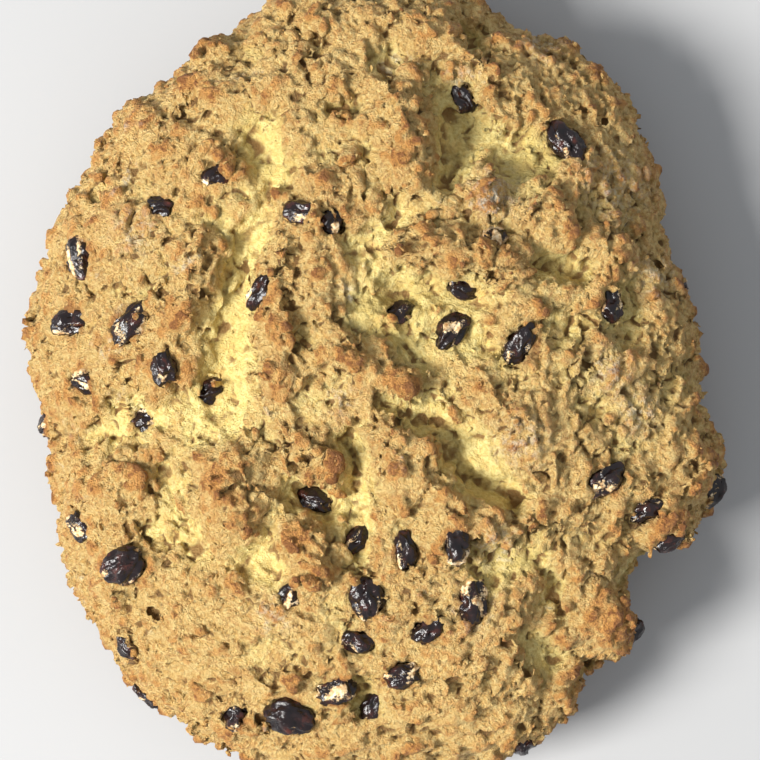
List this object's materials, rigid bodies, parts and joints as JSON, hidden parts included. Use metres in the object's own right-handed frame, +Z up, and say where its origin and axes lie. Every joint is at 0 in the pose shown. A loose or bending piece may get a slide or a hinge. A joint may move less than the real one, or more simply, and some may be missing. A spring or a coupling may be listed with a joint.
{
  "type": "soda bread loaf",
  "caption": "Rustic oval soda bread loaf with a craggy torn crust, a worn baker's cross and raisins set in its surface, resting on a flat base.",
  "frame": {"origin": "Middle of the bounding box, on the flat base that the loaf rests on.", "axes": "+Z up, +Y along the longer side of the oval, +X across it. Metres."},
  "size_m": [0.2074, 0.24, 0.0736],
  "materials": {
    "crust": null,
    "raisin": null
  },
  "bodies": {
    "root": {"loaf": "crust", "raisin_01": "raisin", "raisin_02": "raisin", "raisin_03": "raisin", "raisin_04": "raisin", "raisin_05": "raisin", "raisin_06": "raisin", "raisin_07": "raisin", "raisin_08": "raisin", "raisin_09": "raisin", "raisin_10": "raisin", "raisin_11": "raisin", "raisin_12": "raisin", "raisin_13": "raisin", "raisin_14": "raisin", "raisin_15": "raisin", "raisin_16": "raisin", "raisin_17": "raisin", "raisin_18": "raisin", "raisin_19": "raisin", "raisin_20": "raisin", "raisin_21": "raisin", "raisin_22": "raisin", "raisin_23": "raisin", "raisin_24": "raisin", "raisin_25": "raisin", "raisin_26": "raisin", "raisin_27": "raisin", "raisin_28": "raisin", "raisin_29": "raisin", "raisin_30": "raisin", "raisin_31": "raisin", "raisin_32": "raisin", "raisin_33": "raisin", "raisin_34": "raisin", "raisin_35": "raisin", "raisin_36": "raisin", "raisin_37": "raisin", "raisin_38": "raisin", "raisin_39": "raisin", "raisin_40": "raisin", "raisin_41": "raisin", "raisin_42": "raisin", "raisin_43": "raisin", "raisin_44": "raisin", "raisin_45": "raisin", "raisin_46": "raisin", "raisin_47": "raisin", "raisin_48": "raisin", "raisin_49": "raisin", "raisin_50": "raisin"}
  },
  "joints": []
}
